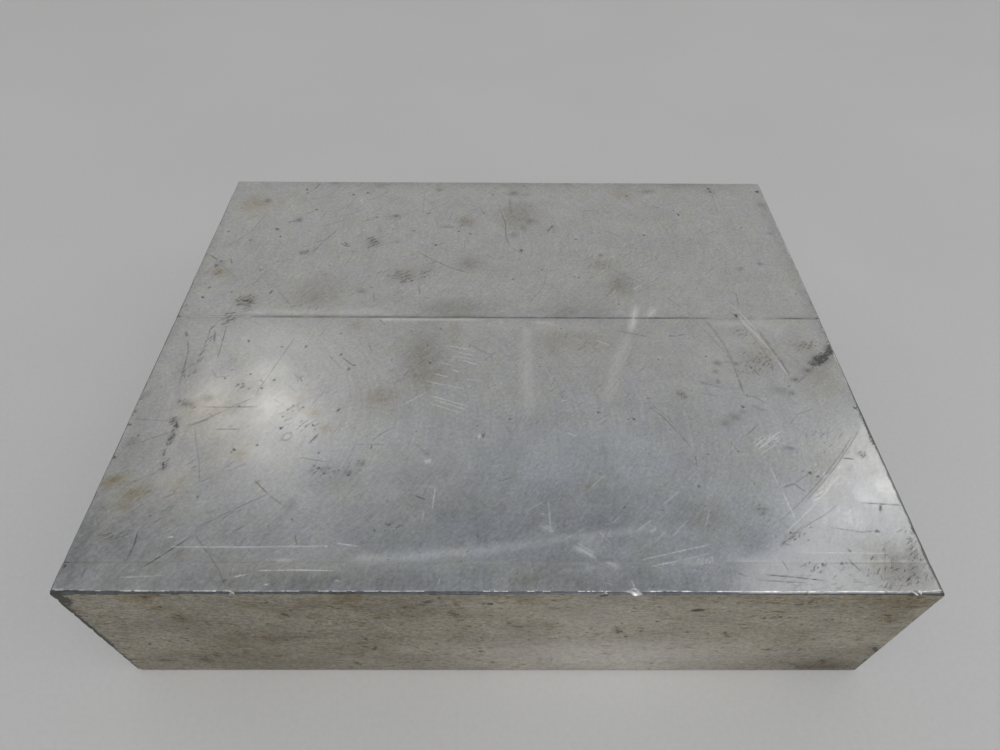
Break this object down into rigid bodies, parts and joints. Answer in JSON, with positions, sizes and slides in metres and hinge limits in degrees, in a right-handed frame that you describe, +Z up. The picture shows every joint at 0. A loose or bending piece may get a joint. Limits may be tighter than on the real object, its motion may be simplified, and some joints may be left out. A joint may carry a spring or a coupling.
{
  "type": "aluminium flat bar",
  "caption": "Thick rectangular length of aluminium flat bar, saw cut at the ends, with a face-milled upper side and mill-finish sides; solid raw stock for machining.",
  "frame": {"origin": "middle of the underside, on the floor that the bar lies on", "axes": "X along the bar's length, between the sawn ends; Y across its width, from the front side to the back side; Z up through its thickness, towards the milled face"},
  "size_m": [0.2476, 0.2032, 0.0635],
  "materials": {
    "aluminium": "face milled and handled on top, dull mill finish on the sides, saw cut at the ends"
  },
  "bodies": {
    "root": {"bar": "aluminium"}
  },
  "joints": []
}
